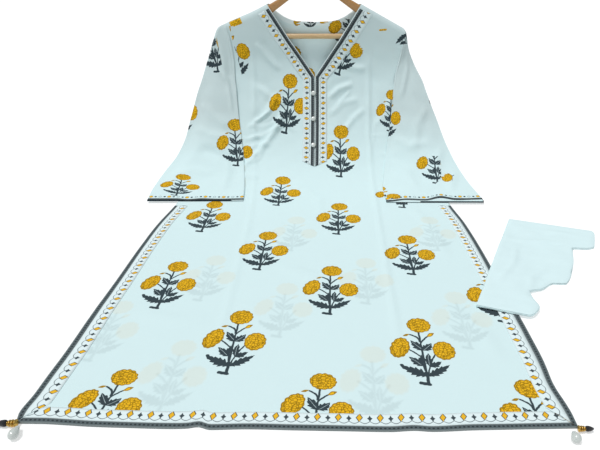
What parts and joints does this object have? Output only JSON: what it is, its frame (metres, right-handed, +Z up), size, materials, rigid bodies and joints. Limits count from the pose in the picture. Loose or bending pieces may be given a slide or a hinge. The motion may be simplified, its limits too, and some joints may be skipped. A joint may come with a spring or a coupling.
{
  "type": "kurti and folded sharara bottoms on a wooden hanger",
  "caption": "Cotton kurti with bell sleeves, split neck and bordered hem on a wooden hanger, skirt laid forward, folded sharara bottoms beside it.",
  "frame": {"origin": "inside top of the hanger's hook, where a rail bears", "axes": "+Z up along the hook and the hanging chest, -Y forward towards the viewer and the laid hem, +X to the viewer's right"},
  "size_m": [0.796, 0.806, 0.4527],
  "materials": {
    "cotton": "matte printed cotton",
    "border_cotton": "matte printed cotton",
    "charcoal_cotton": "matte cotton tape",
    "wood": "clear satin",
    "steel": "polished",
    "pearl": "gloss",
    "gilt": "polished",
    "black_thread": "matte thread"
  },
  "bodies": {
    "root": {"back": "cotton", "front": "cotton", "hem_band": "border_cotton", "hem_tape": "charcoal_cotton", "sleeve_left": "cotton", "cuff_tape_left": "charcoal_cotton", "slit_band_left": "border_cotton", "slit_tape_left": "charcoal_cotton", "neck_border_left": "border_cotton", "neck_tape_left": "charcoal_cotton", "tassel_beads_left": "gilt", "tassel_tip_left": "black_thread", "tassel_drop_left": "pearl", "sleeve_right": "cotton", "cuff_tape_right": "charcoal_cotton", "slit_band_right": "border_cotton", "slit_tape_right": "charcoal_cotton", "neck_border_right": "border_cotton", "neck_tape_right": "charcoal_cotton", "tassel_beads_right": "gilt", "tassel_tip_right": "black_thread", "tassel_drop_right": "pearl", "button_1": "pearl", "button_2": "pearl", "button_3": "pearl", "hanger_arms": "wood", "hanger_dowel": "wood", "hanger_hook": "steel", "bottoms_folded": "cotton", "bottoms_top_fold": "cotton"}
  },
  "joints": []
}
